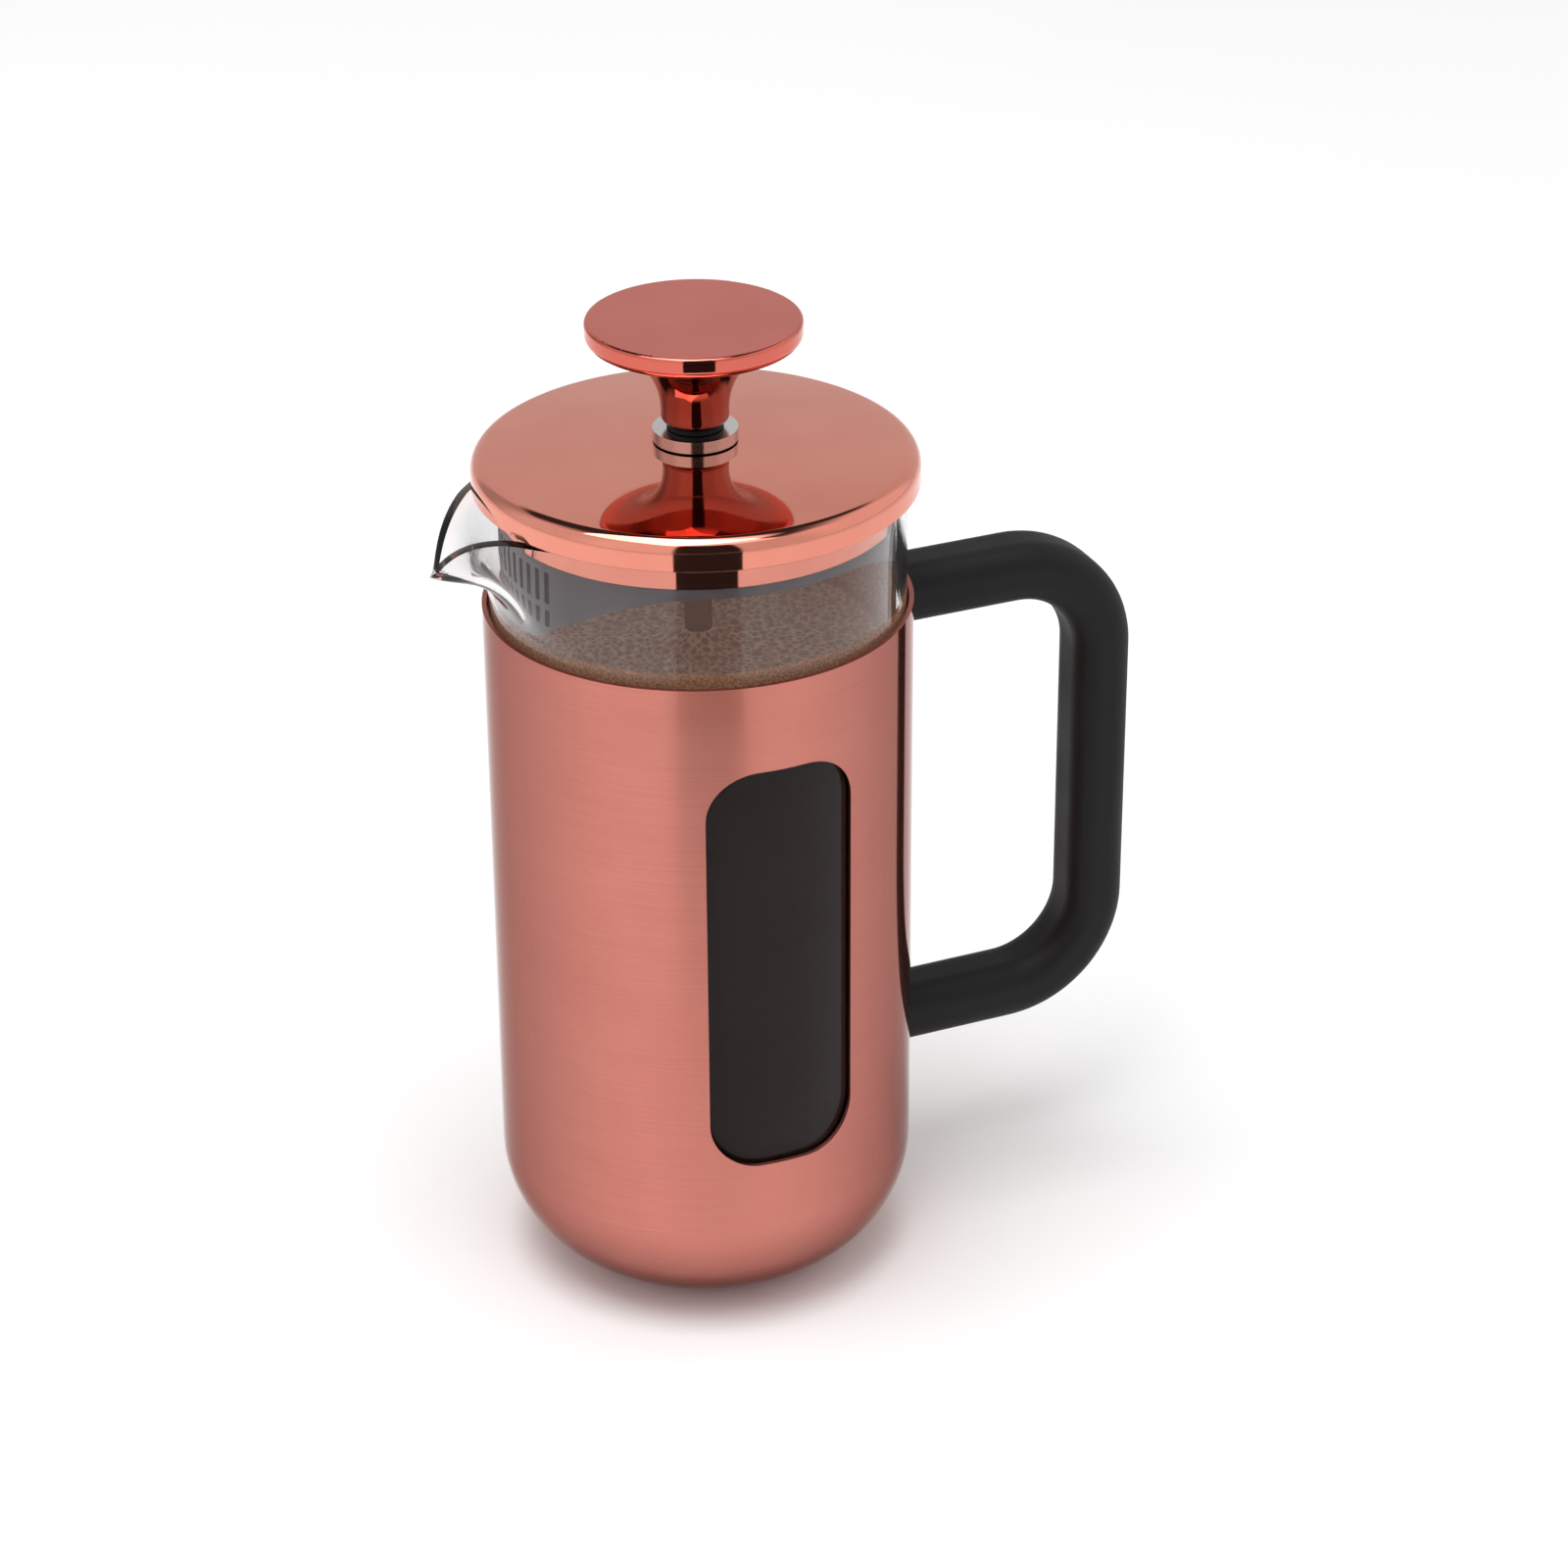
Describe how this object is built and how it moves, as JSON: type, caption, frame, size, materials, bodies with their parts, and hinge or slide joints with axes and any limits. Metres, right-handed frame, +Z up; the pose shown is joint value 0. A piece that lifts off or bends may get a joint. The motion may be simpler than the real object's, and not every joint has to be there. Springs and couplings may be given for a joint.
{
  "type": "french press",
  "caption": "French press: glass beaker in a copper finished sleeve with windows, black loop handle, domed lid and a plunger with a round knob and mesh filter.",
  "frame": {"origin": "centre of the flat base of the sleeve, on the beaker's axis", "axes": "+Z up along the beaker's axis, +X towards the handle, -X towards the spout, windows at +Y and -Y"},
  "size_m": [0.1267, 0.074, 0.1738],
  "materials": {
    "satin_copper": "copper coloured plating, satin brushed round the wall",
    "polished_copper": "copper coloured plating, mirror polished",
    "steel": "brushed stainless steel",
    "zinc_steel": "zinc plated screws",
    "insert_brass": "knurled brass",
    "handle_plastic": "black, soft touch",
    "strainer_plastic": "dark grey moulded plastic",
    "glass": "clear borosilicate glass",
    "silicone": "soft silicone",
    "coffee": "coffee with foam, shown only in the visual model"
  },
  "bodies": {
    "sleeve": {"sleeve": "satin_copper", "handle": "handle_plastic", "upper_screw": "zinc_steel", "lower_screw": "zinc_steel", "upper_insert": "insert_brass", "lower_insert": "insert_brass"},
    "cushion": {"beaker_cushion": "silicone"},
    "beaker": {"beaker": "glass"},
    "bushing": {"rod_bushing": "steel", "bushing_washer": "steel", "bushing_nut": "steel"},
    "lid": {"lid_cap": "polished_copper", "lid_ring": "polished_copper", "lid_insert": "strainer_plastic"},
    "stop": {"stop_washer": "strainer_plastic"},
    "plunger": {"knob": "polished_copper", "plunger_rod": "steel", "rod_hub": "steel", "spiral_plate": "steel", "filter_spring": "steel", "filter_mesh": "steel", "cross_plate": "steel", "filter_nut": "steel"}
  },
  "joints": [
    {"name": "beaker_lift", "type": "slide", "parent": "sleeve", "child": "cushion", "axis": [0, 0, 1], "range_m": [0, 0.135]},
    {"name": "beaker_turn", "type": "hinge", "parent": "cushion", "child": "beaker", "pos_m": [0, 0, 0], "axis": [0, 0, 1], "continuous": true},
    {"name": "lid_lift", "type": "slide", "parent": "beaker", "child": "bushing", "axis": [0, 0, 1], "range_m": [0, 0.14]},
    {"name": "lid_turn", "type": "hinge", "parent": "bushing", "child": "lid", "pos_m": [0, 0, 0.15], "axis": [0, 0, 1], "continuous": true},
    {"name": "plunger_slide", "type": "slide", "parent": "bushing", "child": "stop", "axis": [0, 0, 1], "range_m": [0, 0.101]},
    {"name": "plunger_turn", "type": "hinge", "parent": "stop", "child": "plunger", "pos_m": [0, 0, 0.155], "axis": [0, 0, 1], "continuous": true}
  ]
}
